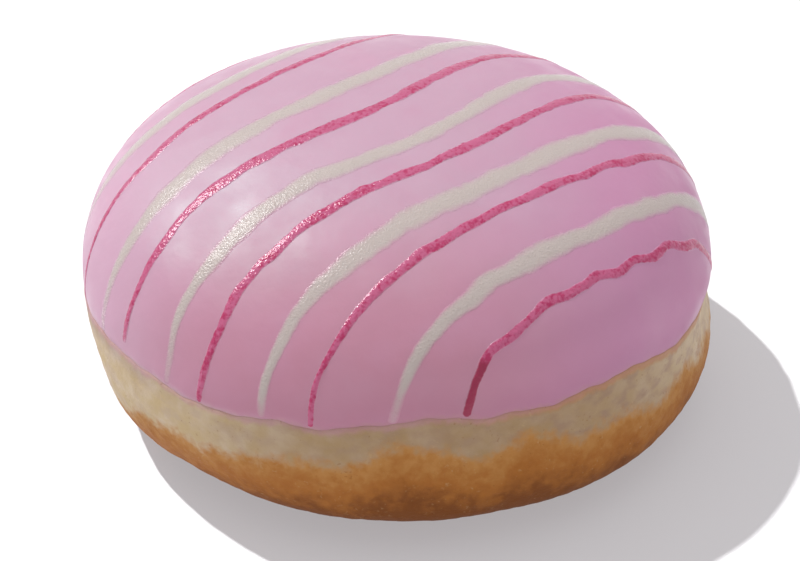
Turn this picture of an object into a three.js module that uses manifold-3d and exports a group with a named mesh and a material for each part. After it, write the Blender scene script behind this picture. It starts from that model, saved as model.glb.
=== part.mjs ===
// An iced doughnut of the round kind without a hole: a bun of yeast dough, rounded below and flat
// where it rests, under a thin cap of icing with piped lines across it, white and dark pink in turn.
// Millimetres, +Z up. The bun rests on z = 0 and the origin is under the middle of its outline.
// The lines run from the front left (-X, -Y) over the top to the back right (+X, +Y).
import * as THREE from 'three';
import { mergeVertices } from 'three/addons/utils/BufferGeometryUtils.js';
import Module from 'manifold-3d';

// The bun: heights are taken from its widest level, and angles round it in degrees from +X.
const RADIUS = 45;
const DOME_RISE = 30.2;
const UNDER_DEPTH = 13.7;
const FOOT_SHARE = 0.96; // the underside is cut flat at this share of its depth
const WAIST = FOOT_SHARE * UNDER_DEPTH; // the widest level's height above the table
const CENTRE = [0.35, -0.91]; // the middle of the widest level, seen from above
const SIDE_POWER = 2.16; // the dome's outline is r^SIDE_POWER + h^TOP_POWER = 1
const TOP_POWER = 3.22;
const UNDER_POWER = 3.6;

// Nothing baked is quite round: the dome and the underside are ovals that don't lie the same way,
// the dome has three faint lobes, and it leans back a little from the collar up.
const OVAL = { dome: 0.036, domeAt: 11, under: 0.031, underAt: -12 };
const LOBES = { size: 0.0064, at: -17 };
const BLEND = { from: 5.4, over: 18 }; // where the dome's form turns into the underside's
const LEAN = [-0.067, 0.145]; // sideways run for each mm of height above the widest level

// The icing: a skin over the dome whose rim follows a shallow wave round the bun.
const ICING = 1.6;
const GAP = 0.3; // between the icing and the dough under it
const RIM = 8.05; // mean height of its lower edge above the widest level
const RIM_WAVES = [
  { count: 1, size: 0.68, at: -64 },
  { count: 4, size: 0.49, at: 15 },
  { count: 7, size: 0.28, at: 9 },
];
const LIP = [[0, 0.6], [0.35, 0.15], [0.8, 0], [1.25, 0.1]]; // inset and height above the rim
const COLLAR = 0.2; // how far the dough stands out just under the icing
const TUCK = 0.5; // and how far it is drawn in below that

// The piped lines, seen from above: each runs along t, which points to ACROSS + 90 degrees, and
// lies at offset + slant t/40 + bow (t/40)^2 + sway cos + late sin of one long wave, all in mm.
const ACROSS = -51;
const SWAY = { length: 50, from: -2 };
const TREMBLE = { length: 11, size: 0.1 };
const LINES = [
  { icing: 'pink', offset: -36.6, slant: -5.0, bow: -0.5, sway: 0.4, late: 0.0 },
  { icing: 'white', offset: -29.6, slant: -6.0, bow: -0.9, sway: 0.5, late: 0.0 },
  { icing: 'pink', offset: -23.3, slant: -5.6, bow: -1.1, sway: 0.5, late: 0.3 },
  { icing: 'white', offset: -12.1, slant: -3.4, bow: -1.4, sway: 0.8, late: 0.3 },
  { icing: 'pink', offset: -4.6, slant: -2.1, bow: -1.3, sway: 1.3, late: 0.0 },
  { icing: 'white', offset: 4.7, slant: -1.5, bow: -2.1, sway: 1.4, late: 0.4 },
  { icing: 'pink', offset: 10.6, slant: -1.1, bow: -1.3, sway: 1.0, late: 0.6 },
  { icing: 'white', offset: 18.0, slant: -0.4, bow: -0.1, sway: 0.5, late: 0.4 },
  { icing: 'pink', offset: 22.7, slant: -0.6, bow: 0.1, sway: 0.1, late: 0.5 },
  { icing: 'white', offset: 30.0, slant: -1.6, bow: 0.9, sway: 0.2, late: 1.0 },
  { icing: 'pink', offset: 35.0, slant: -2.6, bow: 2.9, sway: 0.2, late: 1.0 },
];
const PIPING = {
  pink: { width: 1.7, proud: 0.45, sunk: 0.5, stop: 1.1 },
  white: { width: 2.7, proud: 0.35, sunk: 0.5, stop: 0.9 },
};
const END_SINK = 0.55; // a line sinks into the icing at its ends
const STEP = 4; // length of one step along a line

// How finely the round faces are cut.
const AROUND = 56;
const DOME_RINGS = 11;
const UNDER_TURNS = [68.3, 54, 40, 27, 15, 5]; // degrees down the underside's outline

const radians = THREE.MathUtils.degToRad;
const mix = THREE.MathUtils.lerp;

// Half the bun's width at a height, for a bun whose skin is taken in by inset.
function girth(height, inset = 0) {
  const reach = RADIUS - inset;
  if (height < 0) {
    const down = Math.min(-height / (UNDER_DEPTH - inset), 1);
    return reach * (1 - down ** UNDER_POWER) ** (1 / UNDER_POWER);
  }
  const up = Math.min(height / (DOME_RISE - inset), 1);
  return reach * (1 - up ** TOP_POWER) ** (1 / SIDE_POWER);
}

function swell(angle, height) {
  const under = 1 - THREE.MathUtils.smoothstep(height, BLEND.from - BLEND.over, BLEND.from);
  const dome = OVAL.dome * Math.cos(2 * (angle - radians(OVAL.domeAt)))
    + LOBES.size * Math.cos(3 * (angle - radians(LOBES.at)));
  const below = OVAL.under * Math.cos(2 * (angle - radians(OVAL.underAt)));
  return 1 + mix(dome, below, under);
}

function lean(height) {
  return LEAN.map((run) => run * Math.max(height, 0));
}

// A point on the skin in the part's own frame, with extra added to its reach.
function skin(angle, height, inset = 0, extra = 0) {
  const out = girth(height, inset) * swell(angle, height) + extra;
  const [aside, back] = lean(height);
  return new THREE.Vector3(
    CENTRE[0] + aside + out * Math.cos(angle),
    CENTRE[1] + back + out * Math.sin(angle),
    WAIST + height,
  );
}

function isInside(x, y, height) {
  const [aside, back] = lean(height);
  const angle = Math.atan2(y - back, x - aside);
  return Math.hypot(x - aside, y - back) < girth(height) * swell(angle, height);
}

function rimHeight(angle) {
  return RIM_WAVES.reduce(
    (height, { count, size, at }) => height + size * Math.cos(count * (angle - radians(at))),
    RIM,
  );
}

// Rings of the dome from the rim to just short of the top, as { inset, height(angle) }.
function domeRings(inset, aboveRim) {
  const rise = DOME_RISE - inset;
  return Array.from({ length: DOME_RINGS }, (_, k) => ({
    inset,
    height: (angle) => {
      const low = Math.asin(((rimHeight(angle) + aboveRim) / rise) ** (TOP_POWER / 2));
      const turn = mix(low, Math.PI / 2, k / DOME_RINGS);
      return rise * Math.sin(turn) ** (2 / TOP_POWER);
    },
  }));
}

// A lathe turning with one ring of points for each entry, each moved to its place on the bun.
function turned(rings) {
  const last = rings.length - 1;
  const outline = rings.map((ring, k) => new THREE.Vector2(k === 0 || k === last ? 0 : 1, k));
  const geometry = new THREE.LatheGeometry(outline, AROUND);
  const position = geometry.getAttribute('position');
  for (let vertex = 0; vertex < position.count; vertex += 1) {
    const ring = rings[vertex % rings.length];
    const column = Math.floor(vertex / rings.length) % AROUND;
    const angle = (column / AROUND) * Math.PI * 2;
    const point = ring.pole ?? skin(angle, ring.height(angle), ring.inset, ring.extra);
    position.setXYZ(vertex, point.x, point.y, point.z);
  }
  return geometry;
}

function pole(height) {
  const [aside, back] = lean(height);
  return { pole: new THREE.Vector3(CENTRE[0] + aside, CENTRE[1] + back, WAIST + height) };
}

const wasm = await Module();
wasm.setup();

function solid(geometry) {
  const bare = geometry.clone();
  bare.deleteAttribute('normal');
  bare.deleteAttribute('uv');
  const merged = mergeVertices(bare, 1e-4);
  const corners = [];
  for (let k = 0; k < merged.index.count; k += 3) {
    const [a, b, c] = merged.index.array.slice(k, k + 3);
    if (a !== b && b !== c && c !== a) corners.push(a, b, c);
  }
  const mesh = new wasm.Mesh({
    numProp: 3,
    vertProperties: new Float32Array(merged.getAttribute('position').array),
    triVerts: new Uint32Array(corners),
  });
  return new wasm.Manifold(mesh);
}

function shape(body) {
  const { vertProperties, triVerts } = body.getMesh();
  const geometry = new THREE.BufferGeometry();
  geometry.setAttribute('position', new THREE.BufferAttribute(vertProperties, 3));
  geometry.setIndex(new THREE.BufferAttribute(triVerts, 1));
  geometry.computeVertexNormals();
  return geometry;
}

// A piped line as a curve that lies on the icing, level with its skin.
class PipedLine extends THREE.Curve {
  constructor(line) {
    super();
    this.line = line;
    this.piping = PIPING[line.icing];
    this.arcLengthDivisions = 120;
    this.from = this.turnAtRim(0, Math.PI / 2);
    this.to = this.turnAtRim(Math.PI, Math.PI / 2);
  }

  offset(t) {
    const { offset, slant, bow, sway, late } = this.line;
    const far = t / 40;
    const long = (2 * Math.PI * (t - SWAY.from)) / SWAY.length;
    const short = (2 * Math.PI * (t + offset)) / TREMBLE.length;
    return offset + slant * far + bow * far * far + sway * Math.cos(long) + late * Math.sin(long)
      + TREMBLE.size * Math.sin(short);
  }

  // Where a ray in the line's upright sheet, turned up from -t, leaves the bun.
  onSkin(turn) {
    const across = radians(ACROSS);
    let near = 0;
    let far = 2 * RADIUS;
    let point;
    for (let round = 0; round < 40; round += 1) {
      const reach = (near + far) / 2;
      const t = -reach * Math.cos(turn);
      const s = this.offset(t);
      const x = s * Math.cos(across) - t * Math.sin(across);
      const y = s * Math.sin(across) + t * Math.cos(across);
      point = [x, y, reach * Math.sin(turn)];
      if (isInside(...point)) near = reach;
      else far = reach;
    }
    return point;
  }

  turnAtRim(side, top) {
    let low = side;
    let high = top;
    for (let round = 0; round < 40; round += 1) {
      const turn = (low + high) / 2;
      const [x, y, height] = this.onSkin(turn);
      const stop = rimHeight(Math.atan2(y, x)) + this.piping.stop;
      if (height < stop) low = turn;
      else high = turn;
    }
    return high;
  }

  getPoint(share, target = new THREE.Vector3()) {
    const [x, y, height] = this.onSkin(mix(this.from, this.to, share));
    return target.set(CENTRE[0] + x, CENTRE[1] + y, WAIST + height);
  }

  // The icing's outward direction at a point of the line.
  outward(point) {
    const height = point.z - WAIST;
    const [aside, back] = lean(height);
    const angle = Math.atan2(point.y - CENTRE[1] - back, point.x - CENTRE[0] - aside);
    const small = 0.01;
    const round = skin(angle + small, height).sub(skin(angle - small, height));
    const up = skin(angle, height + small).sub(skin(angle, height - small));
    return round.cross(up).normalize();
  }

  // Keeps the section upright on the icing instead of turning it with the curve.
  computeFrenetFrames(steps) {
    const frames = { tangents: [], normals: [], binormals: [] };
    for (let k = 0; k <= steps; k += 1) {
      const tangent = this.getTangentAt(k / steps);
      const up = this.outward(this.getPointAt(k / steps));
      const side = new THREE.Vector3().crossVectors(up, tangent).normalize();
      frames.tangents.push(tangent);
      frames.normals.push(side);
      frames.binormals.push(up);
    }
    return frames;
  }
}

// The piping's cross-section: a low round back over a flat foot that is sunk in the icing.
function section({ width, proud, sunk }) {
  const half = width / 2;
  return new THREE.Shape([
    new THREE.Vector2(-half, -sunk),
    new THREE.Vector2(half, -sunk),
    new THREE.Vector2(half * 0.72, proud * 0.72),
    new THREE.Vector2(0, proud),
    new THREE.Vector2(-half * 0.72, proud * 0.72),
  ]);
}

function pipedSolid(line) {
  const path = new PipedLine(line);
  const steps = Math.max(8, Math.round(path.getLength() / STEP));
  const extrudePath = path;
  const geometry = new THREE.ExtrudeGeometry(section(path.piping), { steps, extrudePath });
  const position = geometry.getAttribute('position');
  const ends = [0, 1].map((share) => ({
    at: path.getPointAt(share),
    down: path.outward(path.getPointAt(share)).multiplyScalar(-END_SINK),
  }));
  const point = new THREE.Vector3();
  for (let vertex = 0; vertex < position.count; vertex += 1) {
    point.fromBufferAttribute(position, vertex);
    const end = ends.find(({ at }) => at.distanceTo(point) < path.piping.width);
    if (end) point.add(end.down);
    position.setXYZ(vertex, point.x, point.y, point.z);
  }
  return solid(geometry);
}

function doughRings() {
  const inner = ICING + GAP;
  const under = UNDER_TURNS.map((turn) => {
    const height = -UNDER_DEPTH * Math.sin(radians(turn)) ** (2 / UNDER_POWER);
    return { extra: -TUCK, height: () => Math.max(height, -WAIST) };
  });
  return [
    pole(-WAIST),
    ...under,
    { extra: -TUCK, height: () => 0 },
    { extra: -TUCK / 2, height: (angle) => rimHeight(angle) / 2 },
    { extra: COLLAR, height: (angle) => rimHeight(angle) - GAP - 0.6 },
    { inset: COLLAR, height: (angle) => rimHeight(angle) - GAP },
    { inset: inner, height: (angle) => rimHeight(angle) - GAP },
    ...domeRings(inner, 0.3),
    pole(DOME_RISE - inner),
  ];
}

function icingRings() {
  const lip = LIP.map(([inset, above]) => ({
    inset,
    height: (angle) => rimHeight(angle) + above,
  }));
  return [
    pole(DOME_RISE - ICING),
    ...domeRings(ICING, 0.3).reverse(),
    ...lip.slice(1).reverse(),
    ...domeRings(0, LIP[0][1]),
    pole(DOME_RISE),
  ];
}

function finish(color, roughness) {
  return new THREE.MeshStandardMaterial({ color, roughness, metalness: 0 });
}

function part(name, body, material) {
  const mesh = new THREE.Mesh(shape(body), material);
  mesh.name = name;
  return mesh;
}

const dough = solid(turned(doughRings()));
const icing = LINES.reduce(
  (cap, line) => cap.add(pipedSolid(line)),
  solid(turned(icingRings())),
);

const doughnut = new THREE.Group();
doughnut.add(part('dough', dough, finish(0xc08a4a, 0.8)));
doughnut.add(part('icing', icing, finish(0xd3a0b8, 0.4)));

export default doughnut;
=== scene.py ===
# %% [markdown]
# # An iced doughnut
# A round doughnut of the filled kind has no hole. Its bun of yeast dough floats in the fryer on one side
# and then on the other, which browns both faces and leaves a pale collar between them. The top is then
# dipped in pink icing and striped with cream-white and dark pink icing from a piping bag.
#
# The imported model is loaded first. It fixes the place and size of every piece, and each piece made
# below stands in for one of its nodes.

# %% Load the frame
import math

import bpy
import numpy as np
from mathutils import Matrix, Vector, noise
from mathutils.bvhtree import BVHTree


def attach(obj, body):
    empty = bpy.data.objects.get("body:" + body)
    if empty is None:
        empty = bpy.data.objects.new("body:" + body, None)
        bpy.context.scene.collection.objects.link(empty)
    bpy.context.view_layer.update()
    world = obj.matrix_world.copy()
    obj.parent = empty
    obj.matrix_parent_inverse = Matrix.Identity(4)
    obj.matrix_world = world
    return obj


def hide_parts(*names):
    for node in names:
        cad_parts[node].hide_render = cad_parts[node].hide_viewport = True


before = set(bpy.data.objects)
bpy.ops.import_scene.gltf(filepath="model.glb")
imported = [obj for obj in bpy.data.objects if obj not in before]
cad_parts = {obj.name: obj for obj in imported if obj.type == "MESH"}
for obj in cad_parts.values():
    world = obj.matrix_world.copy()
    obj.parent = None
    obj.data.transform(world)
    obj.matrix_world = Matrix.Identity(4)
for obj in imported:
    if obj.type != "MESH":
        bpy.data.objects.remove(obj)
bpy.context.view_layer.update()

MM = 0.001


def in_mm(box):
    """A box's two corners in mm, for printing."""
    return [tuple(round(float(c) / MM, 2) for c in corner) for corner in box]


print("nodes:", sorted(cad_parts))

# %% [markdown]
# ## The form of the bun
# The bun is nearly a solid of revolution. Above its widest level it is a flat-topped dome, and below it
# a shallow bowl that ends in the flat spot it rests on. Both halves are superellipses, which need only a
# height and a power or two each. Every piece is modelled round and level first, which is easy, and then
# carried over to the real form by one function, settle(), so that all pieces still fit each other.

# %% The round form
RADIUS = 45 * MM  # half its width at the widest level
DOME_RISE = 30.2 * MM  # from the widest level to the top
UNDER_DEPTH = 13.7 * MM  # from the widest level to where the round underside would end
FOOT_SHARE = 0.96  # the flat spot cuts the underside at this share of its depth
WAIST = FOOT_SHARE * UNDER_DEPTH  # height of the widest level above the table
TOP_POWER, SIDE_POWER, UNDER_POWER = 3.22, 2.16, 3.6


def girth(height, inset=0.0):
    """Half the round bun's width at a height above its widest level, for a skin taken in by inset."""
    up = np.clip(height / (DOME_RISE - inset), 0, 1)
    down = np.clip(-height / (UNDER_DEPTH - inset), 0, 1)
    dome = (1 - up**TOP_POWER) ** (1 / SIDE_POWER)
    under = (1 - down**UNDER_POWER) ** (1 / UNDER_POWER)
    return (RADIUS - inset) * np.where(height < 0, under, dome)


print(f"widest level {WAIST / MM:.2f} mm up, flat spot {2 * girth(-WAIST) / MM:.1f} mm across")

# %% [markdown]
# ## Out of round
# The real bun is slightly oval, and the underside's oval is turned a little from the dome's. The dome
# also has three faint lobes, and its top slid to the back left as it cooled. Seen from above, an oval
# and lobes are only cosines of the direction, so each needs no more than a size and a place.

# %% Oval, lobes and lean
CENTRE = Vector((0.35, -0.91)) * MM
LEAN = (-0.067, 0.145)  # slide to the right and to the back for each unit of height
OVAL = {"dome": 0.036, "dome_at": 11, "under": 0.031, "under_at": -12}  # shares of the reach, degrees
LOBES = {"size": 0.0064, "at": -17}
BLEND = {"low": -12.6 * MM, "high": 5.4 * MM}  # between these heights one oval turns into the other


def smoothstep(low, high, value):
    """0 at low and 1 at high, with a soft step between them."""
    share = np.clip((value - low) / (high - low), 0, 1)
    return share * share * (3 - 2 * share)


def swell(angle, height):
    """How many times further than round the bun reaches in one direction."""
    dome = OVAL["dome"] * np.cos(2 * (angle - math.radians(OVAL["dome_at"])))
    dome = dome + LOBES["size"] * np.cos(3 * (angle - math.radians(LOBES["at"])))
    under = OVAL["under"] * np.cos(2 * (angle - math.radians(OVAL["under_at"])))
    share = smoothstep(BLEND["low"], BLEND["high"], height)
    return 1 + share * dome + (1 - share) * under


all_round = np.radians(np.arange(360))
reaches = swell(all_round, 0) * RADIUS / MM
print(f"reach at the widest level: {reaches.min():.1f} to {reaches.max():.1f} mm")

# %% [markdown]
# ## The icing's rim
# A bun is dipped by hand, so the lower edge of its icing is higher on one side and waves all round. Slow
# and quick cosines of the direction give the waves. Soft bumps give the few places where the icing ran
# further down or stopped short.

# %% Height of the rim
RIM = 7.6 * MM  # mean height of the icing's lower edge above the widest level
RIM_WAVES = [(1, 0.68 * MM, -64), (4, 0.49 * MM, 15), (7, 0.28 * MM, 9),
             (23, 0.08 * MM, 5), (37, 0.08 * MM, 2), (71, 0.07 * MM, 1)]  # count, size, degrees
RIM_DROPS = [(-164, -1.4, 16), (-125, -0.2, 9), (-110.5, 0.5, 3.5), (-104, -0.85, 4.5), (-94, -0.3, 5),
             (-83, 0.3, 3.5), (-75, -0.7, 2.5), (-63, -0.5, 6), (-44, 0.35, 7), (-34, -0.7, 11),
             (-9, -2, 18)]  # degrees, mm up, degrees wide


def bump(angle, at, size, width):
    """A soft bump around the bun: its direction in degrees, its size in mm and its width in degrees."""
    past = (np.degrees(angle) - at + 180) % 360 - 180
    return size * MM * np.exp(-((past / width) ** 2))


def rim_height(angle):
    """Height of the icing's lower edge above the widest level."""
    waves = sum(size * np.cos(count * (angle - math.radians(at))) for count, size, at in RIM_WAVES)
    return RIM + waves + sum(bump(angle, *drop) for drop in RIM_DROPS)


rims = rim_height(all_round) / MM
print(f"rim: {rims.min():.1f} to {rims.max():.1f} mm above the widest level")

# %% [markdown]
# ## From the round form to the real one
# settle() keeps a point's direction, and its share of the way from the axis out to the skin. Its height
# follows the rim's waves, the less the further it is from the rim. The oval, the lobes, a few broad
# dents and the lean then place the skin at that height. The skin also dips in a little all along the
# rim, where the icing's edge is pressed against the dough.

# %% Settle points
RIM_REACH = {"up": 14 * MM, "down": 7 * MM}  # how far from the rim its waves are felt
PINCH = {"depth": 0.16 * MM, "reach": 1.4 * MM}  # the skin dips in where the icing ends

# Broad dents: direction in degrees, mm above the widest level, mm deep, degrees wide, mm high.
DENTS = [(-3, 4, 1.65, 26, 4.1), (-15, 9, -0.3, 8, 2.5), (-160, -3, 0.45, 8, 3.5),
         (-131, -6.5, 0.5, 10, 5), (-70, -7, 0.5, 12, 4)]


def dip(angle, height):
    """How far the skin lies in from the smooth form: broad dents, and the pinch along the rim."""
    pinch = PINCH["depth"] * np.exp(-(((height - rim_height(angle)) / PINCH["reach"]) ** 2))
    return pinch + sum(bump(angle, at, deep, wide) * np.exp(-(((height / MM - up) / high) ** 2))
                       for at, up, deep, wide, high in DENTS)


def settle(points):
    """Carries points of the round, level bun over to the oval, leaning one with its wavy rim."""
    x, y, z = points.T
    height = z - WAIST
    angle = np.arctan2(y, x)
    share = np.hypot(x, y) / np.maximum(girth(height), MM)
    past_rim = height - RIM
    away = np.where(past_rim > 0, past_rim / RIM_REACH["up"], -past_rim / RIM_REACH["down"])
    height = height + (1 - smoothstep(0, 1, away)) * (rim_height(angle) - RIM)
    reach = share * (np.maximum(girth(height), MM) * swell(angle, height) - dip(angle, height))
    slide = np.maximum(height, 0)
    return np.column_stack((
        CENTRE.x + LEAN[0] * slide + reach * np.cos(angle),
        CENTRE.y + LEAN[1] * slide + reach * np.sin(angle),
        WAIST + height,
    ))


top = settle(np.array([[0, 0, WAIST + DOME_RISE]]))
print("in mm, the middle of the top settles at", in_mm(top)[0])

# %% [markdown]
# ## Rings extruded from a disc
# A turned form is raised as a potter raises a wall. A small disc is the start, and its edge is extruded
# and scaled to the next ring, again and again, until the last ring closes in a point. Extruding keeps
# the rings where the outline wants them: close together where the surface needs fine detail, and far
# apart where nothing is seen.

# %% Raise rings
COLUMNS = 128


def start_clean():
    """Leaves edit mode and deselects everything, so that the next operator acts on its own piece."""
    if bpy.context.object and bpy.context.object.mode != "OBJECT":
        bpy.ops.object.mode_set(mode="OBJECT")
    bpy.ops.object.select_all(action="DESELECT")


def raise_rings(name, outline):
    """Raises a closed shell through rings of (reach, height), from one pole to the other."""
    start_clean()
    (reach, height), *rest = outline
    bpy.ops.mesh.primitive_circle_add(
        vertices=COLUMNS, radius=reach, fill_type="TRIFAN", location=(0, 0, height))
    piece = bpy.context.object
    piece.name = piece.data.name = name
    bpy.ops.object.transform_apply(location=True, rotation=True, scale=True)
    bpy.ops.object.mode_set(mode="EDIT")
    bpy.ops.mesh.select_mode(type="EDGE")
    bpy.ops.mesh.select_all(action="DESELECT")
    bpy.ops.mesh.select_non_manifold()
    for next_reach, next_height in rest:
        bpy.ops.mesh.extrude_edges_move(TRANSFORM_OT_translate={"value": (0, 0, next_height - height)})
        grow = next_reach / reach
        bpy.ops.transform.resize(value=(grow, grow, 1), center_override=(0, 0, next_height))
        reach, height = next_reach, next_height
    bpy.ops.mesh.merge(type="CENTER")
    bpy.ops.mesh.select_all(action="SELECT")
    bpy.ops.mesh.normals_make_consistent(inside=False)
    bpy.ops.object.mode_set(mode="OBJECT")
    return piece


# %% [markdown]
# ## Modifiers and points
# A form raised from rings is coarse, round and level at first. Modifiers refine it. Its points are read
# and written as one array, so that NumPy moves all of them at once, which is quick even for a mesh of
# eighty thousand points.

# %% Helpers for a mesh
def apply_modifier(piece, kind, **settings):
    """Adds a modifier with these settings and applies it."""
    start_clean()
    piece.select_set(True)
    bpy.context.view_layer.objects.active = piece
    bpy.ops.object.modifier_add(type=kind)
    modifier = piece.modifiers[-1]
    for key, value in settings.items():
        setattr(modifier, key, value)
    bpy.ops.object.modifier_apply(modifier=modifier.name)


def read_points(piece):
    """All points of a mesh, one row for each."""
    points = np.empty(len(piece.data.vertices) * 3)
    piece.data.vertices.foreach_get("co", points)
    return points.reshape(-1, 3)


def write_points(piece, points):
    """Moves all points of a mesh to these places."""
    piece.data.vertices.foreach_set("co", np.asarray(points, float).ravel())
    piece.data.update()


def bearings(piece):
    """Each point's direction, seen from the middle, and its height above the widest level."""
    x, y, z = read_points(piece).T
    return np.arctan2(y - CENTRE.y, x - CENTRE.x), z - WAIST


def count_triangles(piece):
    piece.data.calc_loop_triangles()
    return len(piece.data.loop_triangles)


# %% [markdown]
# ## The dough
# The bun starts at the middle of the flat spot it rests on, runs out to the edge of that spot, up the
# underside, and up the collar to the icing's rim. There it turns in below the icing and closes just
# under it, where nothing shows. Two subdivisions then give faces half a millimetre wide, small enough
# for the wrinkles and blisters to be real relief and not only shading.

# %% Raise the bun
FIRST_RING = 2.6 * MM  # reach of the disc that the bun is raised from
SIDE_END = 1.6 * MM  # the side's even rings end this far below the rim, and the shoulder starts
SHOULDER = [(0.1, -0.7), (0.11, -0.3), (0.08, 0), (-0.06, 0.25), (-0.8, 0.5)]  # mm: outward, above the rim
UNDER_ICING = 1.9 * MM  # how far in from the skin the bun lies where the icing covers it


def even_steps(outline, count):
    """The same outline with its points spread evenly along it."""
    outline = np.asarray(outline)
    run = np.r_[0, np.cumsum(np.hypot(*np.diff(outline, axis=0).T))]
    at = np.linspace(0, run[-1], count)
    return list(zip(np.interp(at, run, outline[:, 0]), np.interp(at, run, outline[:, 1])))


def superellipse(count, inset, low, high):
    """Points of the dome's outline between two heights above the widest level."""
    turns = np.linspace(
        math.asin((low / (DOME_RISE - inset)) ** (TOP_POWER / 2)),
        math.asin(min(high / (DOME_RISE - inset), 1) ** (TOP_POWER / 2)), count)
    heights = (DOME_RISE - inset) * np.sin(turns) ** (2 / TOP_POWER)
    return np.column_stack((girth(heights, inset), heights))


def bun_outline():
    """Rings of the bun, from the middle of the flat spot up and round to the pole under the icing."""
    flat = [(reach, -WAIST) for reach in np.linspace(FIRST_RING, girth(-WAIST), 9)]
    turns = np.linspace(math.asin(FOOT_SHARE ** (UNDER_POWER / 2)), 0, 200)
    bowl = -UNDER_DEPTH * np.sin(turns) ** (2 / UNDER_POWER)
    wall = np.linspace(0, RIM - SIDE_END, 60)
    side = np.vstack([np.column_stack((girth(heights), heights)) for heights in (bowl, wall)])
    shoulder = [(girth(RIM + up * MM) + out * MM, RIM + up * MM) for out, up in SHOULDER]
    hidden = superellipse(9, UNDER_ICING, RIM + 0.6 * MM, DOME_RISE)[:-1]
    rings = flat + even_steps(side, 19)[1:] + shoulder + list(hidden)
    return [(float(reach), WAIST + float(height)) for reach, height in rings]


bun = raise_rings("dough_bun", bun_outline())
apply_modifier(bun, "SUBSURF", levels=2, render_levels=2)
write_points(bun, settle(read_points(bun)))
print("dough_bun:", count_triangles(bun), "triangles")

# %% [markdown]
# ## Relief
# Fried dough is never smooth. Sculpting every wrinkle by hand would take long, so the surface is pushed
# in and out by cloudy noise with a Displace modifier. A vertex group says where and how much it acts.
# The noise is read in the space of an empty, and an empty that is stretched upward stretches it too.

# %% Helpers for relief
WEIGHT_STEPS = 20  # a group takes one weight for many points at once, so weights are rounded to steps


def weigh(piece, name, weights):
    """A vertex group from one weight for each vertex."""
    group = piece.vertex_groups.new(name=name)
    for level in range(1, WEIGHT_STEPS + 1):
        chosen = np.nonzero(np.round(weights * WEIGHT_STEPS) == level)[0]
        group.add(chosen.tolist(), level / WEIGHT_STEPS, "REPLACE")
    return group.name


def roughen(piece, size, depth, group, stretch=1.0, detail=1):
    """Pushes the surface in and out by a cloud pattern of this size and depth."""
    texture = bpy.data.textures.new(f"{piece.name}_relief", "CLOUDS")
    texture.noise_scale = size
    texture.noise_depth = detail
    texture.noise_basis = "BLENDER_ORIGINAL"
    start_clean()
    bpy.ops.object.empty_add(type="PLAIN_AXES", location=(0, 0, 0))
    guide = bpy.context.object
    guide.scale = (1, 1, stretch)
    bpy.context.view_layer.update()
    apply_modifier(piece, "DISPLACE", texture=texture, texture_coords="OBJECT",
                   texture_coords_object=guide, strength=2 * depth, mid_level=0.5, vertex_group=group)
    bpy.data.objects.remove(guide)
    bpy.data.textures.remove(texture)


# %% [markdown]
# ## Lumps, creases and blisters
# The bun as a whole is a little lumpy, the collar is creased from top to bottom where it stretched as it
# rose, and the browned skin is covered with small blisters. Each of the three is noise of its own size,
# held to its part of the bun. None of it reaches the flat spot, and at the end every point that came to
# lie below the table is lifted onto it.

# %% Roughen the bun
angle, height = bearings(bun)
below_rim = rim_height(angle) - height
lumpy = smoothstep(0, 3.5 * MM, below_rim) * smoothstep(-WAIST, -WAIST + 1.5 * MM, height)
creased = smoothstep(0.1 * MM, 0.8 * MM, below_rim) * smoothstep(-4 * MM, 2 * MM, height)
blistered = smoothstep(4 * MM, -3 * MM, height) * smoothstep(-WAIST, -WAIST + 1 * MM, height)
roughen(bun, size=11 * MM, depth=0.2 * MM, group=weigh(bun, "lumpy", lumpy))
roughen(bun, size=2.4 * MM, depth=0.12 * MM, group=weigh(bun, "creased", creased), stretch=1.8, detail=2)
roughen(bun, size=1.5 * MM, depth=0.1 * MM, group=weigh(bun, "blistered", blistered), detail=2)
bun.vertex_groups.clear()

points = read_points(bun)
points[:, 2] = np.maximum(points[:, 2], 0)
write_points(bun, points)
print("dough_bun's box in mm:", in_mm((points.min(0), points.max(0))))

# %% [markdown]
# ## The pink icing
# The icing is a set shell of poured sugar, about a millimetre and a half thick, that ends in a rounded
# lip pressed against the dough. It could be the top of the bun in another colour, but then its edge would
# be painted on. So it is a shell of its own: over the crown, down to the lip, round it, and back up
# inside. Set icing also keeps the faint waves of how it ran, which break its highlight up.
#
# The height above the rim is stored on its points, since the icing's colour changes toward its edge.

# %% Raise the icing
ICING = 1.6 * MM
LIP = [(0, 0.9), (0.02, 0.5), (0.08, 0.2), (0.18, 0), (0.4, -0.1), (0.9, 0)]  # mm: inset, above the rim
CROWN_END = 1.5 * MM  # the crown's even rings end this far above the rim, and the lip starts


def icing_outline():
    """Rings of the icing, from its top down the outside, round the lip and up the inside."""
    crown = superellipse(400, 0, RIM + CROWN_END, DOME_RISE)[::-1]
    lip = [(girth(RIM + up * MM) - inset * MM, RIM + up * MM) for inset, up in LIP]
    inside = superellipse(8, ICING, RIM + 1.2 * MM, DOME_RISE)[:-1]
    rings = even_steps(crown, 31)[1:] + lip + list(inside)
    return [(float(reach), WAIST + float(height)) for reach, height in rings]


def store(piece, name, values):
    """One number for each vertex, kept under a name that a material can read."""
    attribute = piece.data.attributes.new(name, "FLOAT", "POINT")
    attribute.data.foreach_set("value", np.asarray(values, float))


icing = raise_rings("pink_icing", icing_outline())
apply_modifier(icing, "SUBSURF", levels=2, render_levels=2)
write_points(icing, settle(read_points(icing)))
angle, height = bearings(icing)
above_rim = height - rim_height(angle)
wavy = smoothstep(0, 5 * MM, above_rim)
roughen(icing, size=13 * MM, depth=0.16 * MM, group=weigh(icing, "wavy", wavy))
icing.vertex_groups.clear()
store(icing, "above_rim", above_rim / MM)
print("pink_icing:", count_triangles(icing), "triangles")

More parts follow.
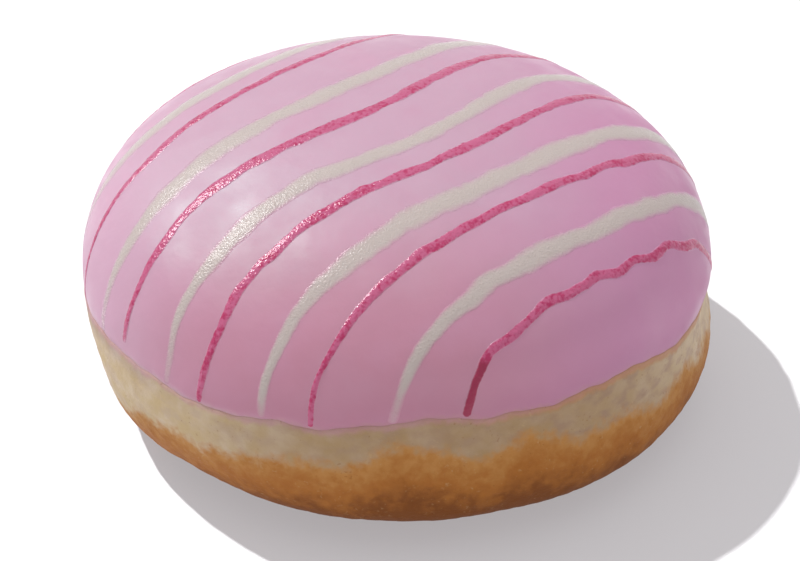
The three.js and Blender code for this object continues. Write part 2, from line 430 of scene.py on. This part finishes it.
# %% [markdown]
# ## The piped lines
# A piping bag lays each line across the doughnut in one sweep, so seen from above it is a gentle curve
# with a little sway and tremble of the hand, and a kink here and there. White icing was piped thin and
# ran flat and wide. Dark pink icing was stiffer and stands up as a fine bead with a grainy skin. Both
# sink a little into the soft cap.
#
# A route is written as the line's distance from the middle, which changes along the line. That takes
# few numbers, and they change little from one line to the next.

# %% Numbers of the lines
ACROSS = math.radians(-51)  # direction in which the lines follow one another, seen from above
REFERENCE = 40 * MM  # slant and bow are given for this distance along the line
SWAY = {"from": -2 * MM, "length": 50 * MM}
TREMBLE = {"size": 0.1 * MM, "length": 11 * MM}
KINK = 1.9 * MM  # how far along the line a kink is felt
GROWS = 32 * MM  # a line widens over this length from its front left end
STARTS_LATE = {"dark_pink_lines_2": 1.4 * MM}  # a line that ends short of the rim at its front left

WHITE = {"proud": 0.11 * MM, "stop": 0.2 * MM, "faces_across": 16, "ragged": 0.24, "grain": 0.012 * MM}
PINK = {"proud": 0.15 * MM, "stop": 0.3 * MM, "faces_across": 10, "ragged": 0.3, "grain": 0.03 * MM}

# For each line, in mm: offset from the middle, slant, bow, sway and late sway. Then its width at the front
# left end and further on, the length over which that end thins out, and kinks: (distance, shift).
PINK_ROUTES = [
    ((-38.6, -5, -0.5, 0.4, 0), (0.8, 1.4), 0, []),
    ((-23.3, -5.6, -1.1, 0.5, 0.3), (0.8, 1.9), 0, [(-14, 0.2), (-6, -0.3)]),
    ((-4.6, -2.1, -1.3, 1.3, 0), (1.05, 2.25), 4,
     [(-42, 0.2), (-34, -0.2), (-29, -0.1), (-20, 0.3), (-9, 0.15), (2, 0.3), (12, 0.2)]),
    ((10.6, -1.1, -1.3, 1, 0.6), (1.1, 1.9), 0,
     [(-35, -0.4), (-31.5, -0.4), (-12, 0.25), (-5, 0.3), (2, -0.2), (19, 0.35), (23, 0.2)]),
    ((22.7, -0.6, 0.1, 0.1, 0.5), (0.85, 1.75), 0,
     [(-36, 1.5), (-21, -0.2), (-12, 0.25), (-5, 0.2), (13, 0.2), (21.5, 0.4)]),
    ((35.2, -2.6, 2.9, 0.2, 1), (1.45, 1.65), 0,
     [(-19.5, 0.3), (-14, -0.35), (-4.3, -0.3), (0.5, -0.2), (3.8, -0.4), (7, 0.2), (11, -0.4), (14.6, 0.25),
      (18.6, -0.3), (21.6, 0.05), (25, -0.3)]),
]
WHITE_ROUTES = [
    ((-29.2, -4.7, -0.9, 0.5, 0), (2.4, 4), 30, []),
    ((-11.9, -3.4, -1.4, 0.8, 0.3), (1.6, 4.3), 14, [(5, 0.2), (14, 0.2)]),
    ((4.95, -1.5, -2.1, 1.4, 0.4), (1.4, 3.5), 12,
     [(-44, 0.8), (-37, -0.2), (-30, 0.2), (-18, -0.3), (-6, 0.2), (10, -0.2)]),
    ((18, -0.4, -0.1, 0.5, 0.4), (1.4, 3.9), 5,
     [(-40.5, 1.5), (-31, -0.25), (-27.5, -0.4), (-20, 0.15), (-14, -0.3)]),
    ((30.1, -1.6, 0.9, 0.2, 1), (1.6, 3.6), 9,
     [(-13, 0.4), (-7, 0.2), (4, -0.2), (14, -0.3), (22, 0.4)]),
]
print(len(WHITE_ROUTES), "white lines and", len(PINK_ROUTES), "dark pink ones")

# %% [markdown]
# ## From a route to points on the skin
# A route seen from above has to be found again on the dome. Rays fan out below it from the middle of the
# widest level, from low at the front left over the top to low at the back right. Halving the reach again
# and again finds the place where each of them leaves the bun.

# %% Follow a route
FAN = np.linspace(math.radians(2), math.radians(178), 1200)
HALVINGS = 40


def sideways(route, kinks, along):
    """How far a line lies from the middle at a distance along it, seen from above."""
    offset, slant, bow, sway, late = (number * MM for number in route)
    far = along / REFERENCE
    long = 2 * math.pi * (along - SWAY["from"]) / SWAY["length"]
    short = 2 * math.pi * (along + offset) / TREMBLE["length"]
    bends = sum(shift * MM * np.exp(-(((along - at * MM) / KINK) ** 2)) for at, shift in kinks)
    return (offset + slant * far + bow * far**2 + sway * np.cos(long) + late * np.sin(long)
            + TREMBLE["size"] * np.sin(short) + bends)


def is_inside(x, y, height):
    """Whether points, measured from the middle of the widest level, lie inside the bun."""
    slide = np.maximum(height, 0)
    x, y = x - LEAN[0] * slide, y - LEAN[1] * slide
    return np.hypot(x, y) < girth(height) * swell(np.arctan2(y, x), height)


def route_points(route, kinks, stop):
    """Points along a line's middle on the skin, ending this far above the rim at both ends."""
    near, far = np.zeros_like(FAN), np.full_like(FAN, 2 * RADIUS)
    for _ in range(HALVINGS):
        reach = (near + far) / 2
        along = -reach * np.cos(FAN)
        aside = sideways(route, kinks, along)
        x = aside * math.cos(ACROSS) - along * math.sin(ACROSS)
        y = aside * math.sin(ACROSS) + along * math.cos(ACROSS)
        height = reach * np.sin(FAN)
        inside = is_inside(x, y, height)
        near, far = np.where(inside, reach, near), np.where(inside, far, reach)
    kept = height > rim_height(np.arctan2(y, x)) + stop
    return np.column_stack((CENTRE.x + x, CENTRE.y + y, WAIST + height))[kept]


def spread_evenly(path, step):
    """The path with its points this far apart, and how far along it each of them is."""
    run = np.r_[0, np.cumsum(np.linalg.norm(np.diff(path, axis=0), axis=1))]
    at = np.linspace(0, run[-1], int(run[-1] / step))
    return np.column_stack([np.interp(at, run, path[:, k]) for k in range(3)]), at


# %% [markdown]
# ## A ribbon on the icing
# A bevelled curve would turn about itself on its way over the dome. So each line is a flat ribbon, a
# grid of fine faces, whose points are laid on the icing one by one: along the route, across it by the
# line's width, and up by its rounded height. Smooth noise makes its edges wander and its height swell,
# and finer noise gives it grain. How thick the icing is at each point is stored for the material.

# %% Lay one ribbon
RIBBON_STEP = 0.25 * MM
EDGE_SINK = 0.25  # a ribbon's edges lie this share of its height below the icing's skin
THIN_BODY = 0.45  # share of its height that a line has left where its end thins out
ROUNDING = 0.8  # power of the ribbon's cross-section: the lower, the fuller
SWELLING = 0.35  # how much its height varies along it
TIP = 0.05  # share of its width that it has left at its very end
UNEVEN = {"course": 4.5 * MM, "edge": 1.2 * MM, "height": 2.5 * MM, "grain": 0.45 * MM}  # noise sizes
icing_surface = BVHTree.FromObject(icing, bpy.context.evaluated_depsgraph_get())


def wobble(place, size, seed):
    """Smooth noise between about -1 and 1, of features this large."""
    return noise.noise(Vector((place[0] / size, place[1] / size, place[2] / size + 31.7 * seed)))


def lay_line(name, line, piping, seed):
    """One ribbon laid along its route, rounded across, ragged at the edges and grained all over."""
    route, (end_width, full_width), thin_length, kinks = line
    path, at = spread_evenly(route_points(route, kinks, piping["stop"]), RIBBON_STEP)
    kept = at >= STARTS_LATE.get(name, 0)
    path, at = path[kept], at[kept] - at[kept][0]
    start_clean()
    bpy.ops.mesh.primitive_grid_add(
        x_subdivisions=len(path) - 1, y_subdivisions=piping["faces_across"], size=2)
    ribbon = bpy.context.object
    ribbon.name = ribbon.data.name = name
    flat = read_points(ribbon)
    station = np.rint((flat[:, 0] + 1) / 2 * (len(path) - 1)).astype(int)
    ahead = np.gradient(path, axis=0)
    widths = (end_width + (full_width - end_width) * smoothstep(0, GROWS, at)) * MM
    body = THIN_BODY + (1 - THIN_BODY) * smoothstep(-0.5 * MM, thin_length * MM + 0.5 * MM, at)
    places, cover = np.empty_like(flat), np.empty(len(flat))
    for k, (share, row) in enumerate(zip(flat[:, 1], station)):
        middle = Vector(path[row])
        half = widths[row] / 2
        to_end = min(at[row], at[-1] - at[row])
        taper = math.sqrt(max(0.0, 1 - max(0.0, 1 - to_end / half) ** 2))
        _, outward, _, _ = icing_surface.find_nearest(middle)
        side = outward.cross(Vector(ahead[row])).normalized()
        wander = wobble(middle, UNEVEN["course"], seed)
        wander += 0.5 * wobble(middle + side * (share * MM), UNEVEN["edge"], seed + 5)
        spot = middle + side * (share * half * (1 + piping["ragged"] * wander) * max(taper, TIP))
        on_icing, outward, _, _ = icing_surface.find_nearest(spot)
        crown = max(0.0, 1 - share**2) ** ROUNDING * taper
        swollen = crown * (1 + SWELLING * wobble(spot, UNEVEN["height"], seed + 9)) * body[row]
        grain = piping["grain"] * wobble(spot, UNEVEN["grain"], seed + 3) * crown
        places[k] = on_icing + outward * (piping["proud"] * (swollen - EDGE_SINK) + grain)
        cover[k] = crown * body[row]
    write_points(ribbon, places)
    store(ribbon, "cover", cover)
    return ribbon


# %% [markdown]
# ## All lines of one colour
# The ribbons of one colour share one material, so they are joined into one piece. Solidify then gives
# them a foot that reaches down into the icing, so that no gap opens below a ragged edge.

# %% Lay all lines
FOOT = 0.4 * MM


def lay_lines(name, lines, piping):
    """All lines of one colour, joined into one piece with a foot in the icing."""
    ribbons = [lay_line(f"{name}_{k}", line, piping, seed=10 * k + piping["faces_across"])
               for k, line in enumerate(lines)]
    start_clean()
    for ribbon in ribbons:
        ribbon.select_set(True)
    bpy.context.view_layer.objects.active = ribbons[0]
    bpy.ops.object.join()
    piece = bpy.context.object
    piece.name = piece.data.name = name
    bpy.ops.object.mode_set(mode="EDIT")
    bpy.ops.mesh.select_all(action="SELECT")
    bpy.ops.mesh.normals_make_consistent(inside=False)
    bpy.ops.object.mode_set(mode="OBJECT")
    if np.mean([polygon.normal.z for polygon in piece.data.polygons]) < 0:
        piece.data.flip_normals()
    apply_modifier(piece, "SOLIDIFY", thickness=FOOT, offset=-1)
    print(f"{name}: {len(lines)} lines, {count_triangles(piece)} triangles")
    return piece


white_lines = lay_lines("white_lines", WHITE_ROUTES, WHITE)
pink_lines = lay_lines("dark_pink_lines", PINK_ROUTES, PINK)

# %% [markdown]
# ## Writing materials as expressions
# A material is a small program. Wire wraps the output of a node and gives it Python's operators, so a
# mask can be written as 1 - shade * 2 and the Math nodes appear by themselves. Every other node comes
# from one method that takes its type, its settings and what goes into its sockets, and the kinds of node
# that are used often have a method each.

# %% Shader helpers
class Wire:
    """The output of a node, with operators that add Math nodes."""

    def __init__(self, socket):
        self.socket = socket

    def node(self, kind, settings=None, inputs=None, output=0):
        """Adds a node: its settings first, then the values or wires of its sockets."""
        node = self.socket.id_data.nodes.new(f"ShaderNode{kind}")
        for key, value in (settings or {}).items():
            setattr(node, key, value)
        for key, value in (inputs or {}).items():
            if isinstance(value, Wire):
                self.socket.id_data.links.new(value.socket, node.inputs[key])
            else:
                node.inputs[key].default_value = value
        return Wire(node.outputs[output])

    def maths(self, operation, *terms):
        return self.node("Math", {"operation": operation}, dict(enumerate(terms)))

    def __add__(self, other):
        return self.maths("ADD", self, other)

    def __sub__(self, other):
        return self.maths("SUBTRACT", self, other)

    def __rsub__(self, other):
        return self.maths("SUBTRACT", other, self)

    def __mul__(self, other):
        return self.maths("MULTIPLY", self, other)

    def __neg__(self):
        return self.maths("MULTIPLY", self, -1)

    __radd__ = __add__
    __rmul__ = __mul__

    def between(self, low, high):
        """0 below low and 1 above high, with a soft step between."""
        return self.node("MapRange", {"interpolation_type": "SMOOTHSTEP"},
                         {"Value": self, "From Min": low, "From Max": high})

    def stored(self, name):
        """A number that was stored on the piece's points."""
        return self.node("Attribute", {"attribute_name": name}, output="Fac")

    def noise(self, size, detail=2.0, stretch=(1, 1, 1), shift=0.0):
        """Cloudy noise about 0.5 of features this large, on this wire as coordinates."""
        place = self.node("Mapping", {}, {"Vector": self, "Location": (shift, 0, 0),
                                          "Scale": tuple(1 / (size * k) for k in stretch)})
        return self.node("TexNoise", {}, {"Vector": place, "Scale": 1.0, "Detail": detail})

    def cells(self, size):
        """Distance to the nearest of many scattered points about this far apart."""
        place = self.node("Mapping", {}, {"Vector": self, "Scale": (1 / size,) * 3})
        return self.node("TexVoronoi", {}, {"Vector": place, "Scale": 1.0}, "Distance")

    def parts(self):
        """The three numbers of a vector. For a place they grow to the right, to the back and upward."""
        return [Wire(output) for output in self.node("SeparateXYZ", {}, {"Vector": self}).socket.node.outputs]

    def mixed(self, first, second, mode="MIX"):
        """Two colours mixed by this wire."""
        return self.node("Mix", {"data_type": "RGBA", "blend_type": mode}, {0: self, 6: first, 7: second}, 2)

    def relief(self, strength, depth):
        """The surface's slope with this wire as its height."""
        return self.node("Bump", {}, {"Height": self, "Strength": strength, "Distance": depth})


def srgb(red, green, blue):
    """A colour as a screen shows it, from 0 to 255, as the linear one that light needs."""
    shares = [channel / 255 for channel in (red, green, blue)]
    linear = [s / 12.92 if s <= 0.04045 else ((s + 0.055) / 1.055) ** 2.4 for s in shares]
    return (*linear, 1.0)


def new_material(name, piece, **fixed):
    """A material with one Principled shader. Returns the shader and the piece's own coordinates."""
    material = bpy.data.materials.new(name)
    material.use_nodes = True
    shader = material.node_tree.nodes["Principled BSDF"]
    for key, value in fixed.items():
        shader.inputs[key.replace("_", " ")].default_value = value
    place = material.node_tree.nodes.new("ShaderNodeTexCoord")
    piece.data.materials.clear()
    piece.data.materials.append(material)
    return shader, Wire(place.outputs["Object"])


def plug(shader, **wires):
    """Connects wires to the shader's sockets, and prints which ones."""
    for key, wire in wires.items():
        shader.id_data.links.new(wire.socket, shader.inputs[key.replace("_", " ")])
    print("a material of", len(shader.id_data.nodes), "nodes for", ", ".join(wires))


# %% [markdown]
# ## The finish of the pink icing
# Poured icing is tinted sugar: pale pink over the crown, a little rosier to the front and more lilac to
# the right, with a satin gloss that is never quite even. Over the left side a paler pink is painted as
# sheen. Each colour drifts slowly into the next. Toward its lower edge the icing is paler at the left,
# and everywhere else it is darkened by painted shade. In the last millimetre it is so thin that the
# dough below shows. Light also goes a little way in, which softens every shade.

# %% Pink icing
PALE_PINK = srgb(192, 154, 174)
ROSE_PINK = srgb(192, 136, 156)
LILAC_PINK = srgb(194, 138, 170)
# painted sheen: a paler pink over the left of the icing, also used for the paler fringe along the rim at the
# left
SHEEN_AND_FRINGE_PINK = srgb(202, 160, 182)
THIN_PINK = srgb(180, 138, 136)
THIN_LEFT = srgb(198, 168, 168)
LOW_SHADE = (0.89, 0.86, 0.88, 1)  # painted shade on the icing's lowest millimetres, but for the left


def icing_pink(place):
    """The cap's pink, with painted sheen at the left; it also shows through the lines' thin edges."""
    right, back, _ = place.parts()
    drift = 0.8 * (place.noise(10 * MM, detail=3) - 0.5)
    pink = ((-back).between(14 * MM, 40 * MM) + drift).mixed(PALE_PINK, ROSE_PINK)
    pink = (right.between(4 * MM, 36 * MM) + drift).mixed(pink, LILAC_PINK)
    # painted sheen over the left side of the icing
    return ((-right).between(24 * MM, 44 * MM) * 0.8 + drift).mixed(pink, SHEEN_AND_FRINGE_PINK)


shader, place = new_material("pink_icing", icing, Subsurface_Weight=0.12, Subsurface_Radius=(1.0, 0.5, 0.6),
                             Subsurface_Scale=2 * MM, IOR=1.42, Specular_IOR_Level=0.25)
above_rim = place.stored("above_rim")
right, _, _ = place.parts()
left = (-right).between(2 * MM, 32 * MM)
fringe = 1 - (above_rim + 0.8 * place.noise(4 * MM, detail=2)).between(0.5, 1.6)
colour = (fringe * left * 0.5).mixed(icing_pink(place), SHEEN_AND_FRINGE_PINK)
# painted shade along the icing's lower edge, but for the left
low = (1 - above_rim.between(0.5, 5)) * (1 - left)
colour = low.mixed(colour, LOW_SHADE, "MULTIPLY")
thin = 1 - (above_rim + 1.2 * (place.noise(0.9 * MM, detail=3) - 0.5)).between(-0.3, 1)
colour = (thin * 0.8).mixed(colour, left.mixed(THIN_PINK, THIN_LEFT))
peel = 5 * place.noise(8 * MM, detail=1) + place.noise(1.6 * MM, detail=1)
peel = peel + 0.2 * place.noise(0.4 * MM, detail=1)
gloss = place.noise(6 * MM, detail=2).between(0.3, 0.7)
plug(shader, Base_Color=colour, Normal=peel.relief(0.35, 0.12 * MM), Roughness=0.3 + 0.25 * gloss)

# %% [markdown]
# ## The finish of the white lines
# The white icing is cream rather than white. At its edges it is so thin that the pink shows through,
# and the number that was stored while the ribbons were laid says how thick it is. Its fine grain breaks
# the gloss into many small glints, where a smooth skin would mirror the lamp as one streak.

# %% White lines
CREAM = srgb(189, 177, 172)

shader, place = new_material("white_icing", white_lines, Subsurface_Weight=0.1,
                             Subsurface_Radius=(1.0, 0.8, 0.7), Subsurface_Scale=1.5 * MM, IOR=1.45,
                             Specular_IOR_Level=0.18)
cover = place.stored("cover") + 0.25 * (place.noise(1.2 * MM, detail=2) - 0.5)
grain = 2.5 * place.noise(0.3 * MM, detail=1) + 1.1 * place.noise(1.4 * MM, detail=1)
plug(shader, Base_Color=cover.between(0.15, 0.95).mixed(icing_pink(place), CREAM),
     Normal=grain.relief(0.5, 0.08 * MM), Roughness=0.16 + 0.14 * place.noise(0.9 * MM, detail=1))

# %% [markdown]
# ## The finish of the dark pink lines
# The dark pink is a strong raspberry colour with a grainy skin, which sparkles where it faces the light.
# Scattered cells make grit, and noise on top keeps the cells from looking regular.

# %% Dark pink lines
RASPBERRY = srgb(190, 96, 132)
DEEP_RASPBERRY = srgb(176, 56, 98)
CRIMSON = srgb(150, 50, 78)
CRIMSON_TIP = (8.5, -40.5, 24)  # mm: where the front line starts, and is darker

shader, place = new_material("dark_pink_icing", pink_lines, IOR=1.45, Specular_IOR_Level=0.3)
specks = place.noise(0.55 * MM, detail=2)
deep = (specks + 0.7 * (place.noise(3 * MM) - 0.5)).between(0.42, 0.72)
from_tip = place.node("VectorMath", {"operation": "DISTANCE"},
                      {0: place, 1: [c * MM for c in CRIMSON_TIP]}, "Value")
colour = (1 - from_tip.between(5 * MM, 6.2 * MM)).mixed(deep.mixed(RASPBERRY, DEEP_RASPBERRY), CRIMSON)
edge = (place.stored("cover") + 0.5 * (specks - 0.5)).between(0.2, 0.7)
grit = place.cells(0.4 * MM) + place.noise(0.3 * MM, detail=1)
plug(shader, Base_Color=edge.mixed(icing_pink(place), colour), Normal=grit.relief(0.55, 0.1 * MM),
     Roughness=0.1 + 0.18 * specks)

# %% [markdown]
# ## Where the dough browned
# The fryer browns what lies in the oil, so the colour follows height: chestnut at the foot, golden brown
# up the side, and then, within two or three millimetres, the pale collar. That border is not level. It
# climbs in tongues where the bun sat deeper in the oil and drops where it floated higher. The height
# above the border is stored on the bun as one number a point, and so is the distance below the rim.

# %% Browning stored on the bun
TONGUES = [(-152, -4.2, 8), (-136, -0.3, 6), (-108, 1.9, 6), (-91, 4, 7), (-82, 2, 6), (-68, 3.6, 7.5),
           (-58, 1, 5), (-48, 1.8, 7), (-30, 2, 4), (-19, 1.3, 7), (5, -1.6, 8), (26, 1.6, 8), (55, 2.6, 8),
           (88, 1, 6), (116, 2.8, 9), (148, 1.4, 7), (176, 2.2, 8)]  # degrees, mm up, degrees wide
BORDER = {"height": -1.2 * MM, "front": 2.4 * MM}  # above the widest level, and higher at the front

angle, height = bearings(bun)
border = BORDER["height"] + BORDER["front"] * np.cos(angle + math.pi / 2)
border = border + sum(bump(angle, *tongue) for tongue in TONGUES)
store(bun, "above_border", (height - border) / MM)
store(bun, "below_rim", (rim_height(angle) - height) / MM)
print(f"border: {border.min() / MM:.1f} to {border.max() / MM:.1f} mm above the widest level")

# %% [markdown]
# ## The pale collar
# The collar keeps the cream colour of raw dough, with clouds of straw yellow and small greyish smudges.
# It is not the same all round: painted shade darkens it toward the front right, and just below the rim
# at the left it has painted shade from the icing above. Along the rim lies a film of pink where icing
# thinned out over the dough, and at the right a browner seam as well. Each of these is one colour laid
# over the ones before by a soft mask.

# %% Collar
CREAM_DOUGH = srgb(206, 188, 162)
STRAW_DOUGH = srgb(192, 168, 124)
GREY_DOUGH = srgb(186, 163, 144)
GOLDEN = srgb(181, 130, 72)
FILM = srgb(186, 134, 152)
PAINTED_FRONT_SHADE = (0.65, 0.565, 0.5, 1)  # painted shade: the tint that darkens the collar toward the front right
SHADED = (0.82, 0.78, 0.88, 1)  # painted shade on the collar just below the rim at the left, under the icing

shader, place = new_material("fried_dough", bun, Subsurface_Weight=0.1, Subsurface_Radius=(1.0, 0.6, 0.3),
                             Subsurface_Scale=2 * MM, IOR=1.4, Specular_IOR_Level=0.2)
right, back, _ = place.parts()
below_rim = place.stored("below_rim")
fine = place.noise(1 * MM, detail=4, shift=3)
cloud = place.noise(3.5 * MM, detail=3).between(0.3, 0.7)
pale = (cloud * (0.8 - 0.4 * right.between(10 * MM, 40 * MM))).mixed(CREAM_DOUGH, STRAW_DOUGH)
smudge = place.noise(1.6 * MM, detail=3, stretch=(1.5, 1.5, 0.9), shift=5).between(0.4, 0.7)
pale = (smudge * (0.45 + 0.55 * right.between(4 * MM, 36 * MM))).mixed(pale, GREY_DOUGH)
# painted shade on the collar toward the front right, the side away from the key light
painted_front_shade = (right * 0.25 - back * 0.97).between(24 * MM, 44 * MM)
pale = painted_front_shade.mixed(pale, PAINTED_FRONT_SHADE, "MULTIPLY")
# painted shade under the icing's rim at the left
shaded = (1 - below_rim.between(0.3, 3)) * (-right).between(22 * MM, 40 * MM)
pale = shaded.mixed(pale, SHADED, "MULTIPLY")
seam = (1 - (below_rim + 1.2 * (fine - 0.4)).between(0.3, 1)) * right.between(0, 24 * MM)
pale = (seam * 0.6).mixed(pale, GOLDEN)
film = 1 - (below_rim + 1.2 * (fine - 0.5)).between(-0.1, 0.75)
pale = (film * (0.48 - 0.25 * right.between(5 * MM, 30 * MM))).mixed(pale, FILM)
print("collar so far:", len(shader.id_data.nodes), "nodes")

# %% [markdown]
# ## The crust
# Below the collar the crust goes from golden through brown to chestnut, with a mottled look. Noise frays
# the border with the collar, so that it looks burnt in and not painted on. Pale flecks, small dark pits
# and fine pores lie over the whole bun.

# %% Crust
BROWN = srgb(161, 101, 43)
CHESTNUT = srgb(121, 69, 28)

fray = 4 * (place.noise(3.2 * MM, detail=2) - 0.5) + 3.2 * (fine - 0.5)
level = place.stored("above_border") + fray
mottle = place.noise(1.8 * MM, detail=4, shift=11).between(0.35, 0.65)
mottled = level + 2 * (mottle - 0.5)
crust = mottled.between(-5, 1).mixed(mottled.between(-10, -4).mixed(CHESTNUT, BROWN), GOLDEN)
colour = level.between(-1.3, 1.6).mixed(crust, pale)
fleck = (place.noise(0.55 * MM, detail=1, shift=23) + 0.5 * (place.noise(3 * MM) - 0.5)).between(0.66, 0.9)
colour = (fleck * 0.3).mixed(colour, STRAW_DOUGH)
pit = (place.noise(0.4 * MM, detail=0, shift=37) + 0.5 * (place.noise(4 * MM) - 0.5)).between(0.78, 0.88)
colour = (pit * 0.3).mixed(colour, CHESTNUT)
pores = place.noise(0.7 * MM, detail=3) + 0.5 * place.noise(0.25 * MM, detail=1)
plug(shader, Base_Color=colour, Normal=pores.relief(0.6, 0.15 * MM),
     Roughness=0.5 + 0.25 * place.noise(1.5 * MM))

# %% [markdown]
# ## Smooth shading and bodies
# All pieces are shaded smooth, since their edges are round at this scale. Each one then hides the
# imported node it stands in for. Food has no moving parts, so everything rides on the one body.

# %% Finish the pieces
for piece, node, slot in (
    (bun, "dough", "dough"),
    (icing, "icing", "icing"),
    (white_lines, "icing", "icing"),
    (pink_lines, "icing", "icing"),
):
    start_clean()
    piece.select_set(True)
    bpy.context.view_layer.objects.active = piece
    bpy.ops.object.shade_smooth()
    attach(piece, "root")
    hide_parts(node)
    print(piece.name, "stands in for", node)

# %% [markdown]
# ## The floor
# The doughnut stands on a plain white floor, large enough to have no edge in any view. It glows a
# little, which lifts the shadow to a soft grey, as the white walls of a studio would.

# %% Floor
FLOOR_SIZE = 40.0
FLOOR_GREY = (0.25, 0.25, 0.255, 1)
FLOOR_GLOW = (1, 0.96, 0.99, 1)

start_clean()
bpy.ops.mesh.primitive_plane_add(size=FLOOR_SIZE, location=(0, 0, 0))
floor = bpy.context.object
floor.name = "floor"
material = bpy.data.materials.new("floor_white")
material.use_nodes = True
shader = material.node_tree.nodes["Principled BSDF"]
shader.inputs["Base Color"].default_value = FLOOR_GREY
shader.inputs["Roughness"].default_value = 0.9
shader.inputs["Emission Color"].default_value = FLOOR_GLOW
shader.inputs["Emission Strength"].default_value = 0.37
floor.data.materials.append(material)
print("floor:", FLOOR_SIZE, "m across")

# %% [markdown]
# ## Light
# One key light comes from the back left, high up, and throws a clear shadow to the front right. An even
# white surround and a fill light from above soften the shade. The floor gets a key light of its own,
# from the same side, so that it turns fully white without the food being lit too strongly. Gloss has two
# lights of its own as well, since a studio lamp is broad where it mirrors in a surface: one for the
# soft sheen of the icing, and one that sparkles on the grain of the lines.

# %% Suns and surround
# Elevation is how steeply the light comes down, azimuth the way it travels, and angle how broad it is.
KEY = {"elevation": 53, "azimuth": -40, "strength": 1.95, "angle": 1.2}
FLOOR_KEY = {**KEY, "strength": 7}
FILL = {"elevation": 84, "azimuth": -36, "strength": 0.6, "angle": 60}
SHEEN = {"elevation": 54, "azimuth": -33, "strength": 6.5, "angle": 42}
SHEEN_COLOUR = (0.6, 1, 0.85)  # greenish, so that on pink icing the sheen comes out white
GLINT = {"elevation": 52, "azimuth": -34, "strength": 4.4, "angle": 25}
SURROUND = {"level": 0.58, "behind": 0.05}  # its strength, and how much more it is at the back
SURROUND_WHITE = (1.0, 0.98, 1.0, 1)


def add_sun(name, elevation, azimuth, strength, angle):
    """Light from far away that comes down at this elevation and travels in this direction."""
    turn, climb = math.radians(azimuth), math.radians(elevation)
    travel = Vector((math.cos(climb) * math.cos(turn), math.cos(climb) * math.sin(turn), -math.sin(climb)))
    start_clean()
    bpy.ops.object.light_add(type="SUN", location=-travel)
    sun = bpy.context.object
    sun.name = name
    sun.rotation_euler = travel.to_track_quat("-Z", "Y").to_euler()
    sun.data.energy = strength
    sun.data.angle = math.radians(angle)
    print(f"{name}: strength {strength}")
    return sun


def shine_only_on(sun, pieces):
    """Keeps a light to these pieces."""
    sun.light_linking.receiver_collection = bpy.data.collections.new(f"{sun.name}_receivers")
    for piece in pieces:
        sun.light_linking.receiver_collection.objects.link(piece)


add_sun("key_light", **KEY).visible_glossy = False
shine_only_on(add_sun("floor_light", **FLOOR_KEY), [floor])
fill = add_sun("fill_light", **FILL)
fill.data.use_shadow = False
fill.visible_glossy = False
sheen = add_sun("sheen_light", **SHEEN)
sheen.data.color = SHEEN_COLOUR
sheen.visible_diffuse = False
shine_only_on(sheen, [icing])
glint = add_sun("glint_light", **GLINT)
glint.visible_diffuse = False
shine_only_on(glint, [white_lines, pink_lines])

world = bpy.data.worlds.new("surround")
bpy.context.scene.world = world
world.use_nodes = True
background = world.node_tree.nodes["Background"]
background.inputs["Color"].default_value = SURROUND_WHITE
direction = Wire(world.node_tree.nodes.new("ShaderNodeTexCoord").outputs["Generated"])
_, back, _ = direction.parts()
strength = SURROUND["level"] + SURROUND["behind"] * back
world.node_tree.links.new(strength.socket, background.inputs["Strength"])
bpy.context.scene.view_settings.view_transform = "Standard"

# %% [markdown]
# ## Camera
# The camera looks down on the doughnut from the front, and from so close that its front looks larger
# than its back. The focal length is given in pixels of the image, and the sensor's width turns it into
# the millimetres of a lens. A small shift puts the doughnut in its place in the frame.

# %% Aim the camera
ELEVATION = math.radians(36)
DISTANCE = 225 * MM
SENSOR = 36  # mm
IMAGE_WIDTH = 800  # pixels
FOCAL_PIXELS = 1488
SHIFT_PIXELS = (2.2, 5.8)  # the subject sits this far right of and below the middle

aim = Vector((CENTRE.x, CENTRE.y, WAIST))
back_off = Vector((0, -math.cos(ELEVATION), math.sin(ELEVATION))) * DISTANCE
bpy.ops.object.camera_add(location=aim + back_off, rotation=(math.pi / 2 - ELEVATION, 0, 0))
camera = bpy.context.object
camera.name = "camera"
camera.data.sensor_width = SENSOR
camera.data.lens = SENSOR * FOCAL_PIXELS / IMAGE_WIDTH
camera.data.shift_x = -SHIFT_PIXELS[0] / IMAGE_WIDTH
camera.data.shift_y = SHIFT_PIXELS[1] / IMAGE_WIDTH
camera.data.clip_start = 10 * MM
bpy.context.scene.camera = camera
print(f"camera: {camera.data.lens:.1f} mm lens, {DISTANCE / MM:.0f} mm away")
